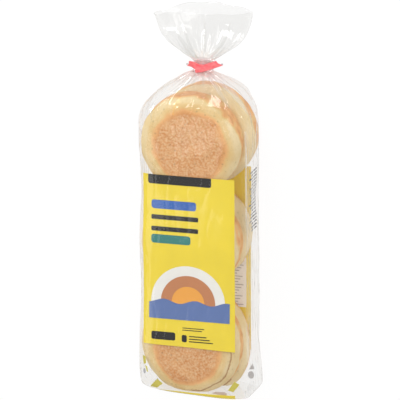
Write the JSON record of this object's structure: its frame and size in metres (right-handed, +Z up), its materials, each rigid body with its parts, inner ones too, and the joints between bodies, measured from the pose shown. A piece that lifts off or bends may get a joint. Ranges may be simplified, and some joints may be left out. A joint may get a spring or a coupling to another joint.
{
  "type": "pack of english muffins",
  "caption": "Clear film bag of english muffins lying on its back, with a plain printed front, gathered at the neck and closed by a flat twist tie.",
  "frame": {"origin": "centre of the bounding box's underside, on the surface that the bag lies on", "axes": "+Y from the bag's folded bottom to its gathered mouth, +X across it to the right as its printed front is read, +Z up out of the printed front"},
  "size_m": [0.1062, 0.3474, 0.06],
  "materials": {
    "film": "clear polyethylene film, glossy",
    "print": "yellow ink printed on the film, glossy",
    "crust": "griddle-browned bread, dry and matt",
    "crumb": "pale unbrowned bread, matt",
    "tie": "red plastic ribbon, satin"
  },
  "bodies": {
    "root": {"bag": "film", "tie": "tie"}
  },
  "joints": []
}
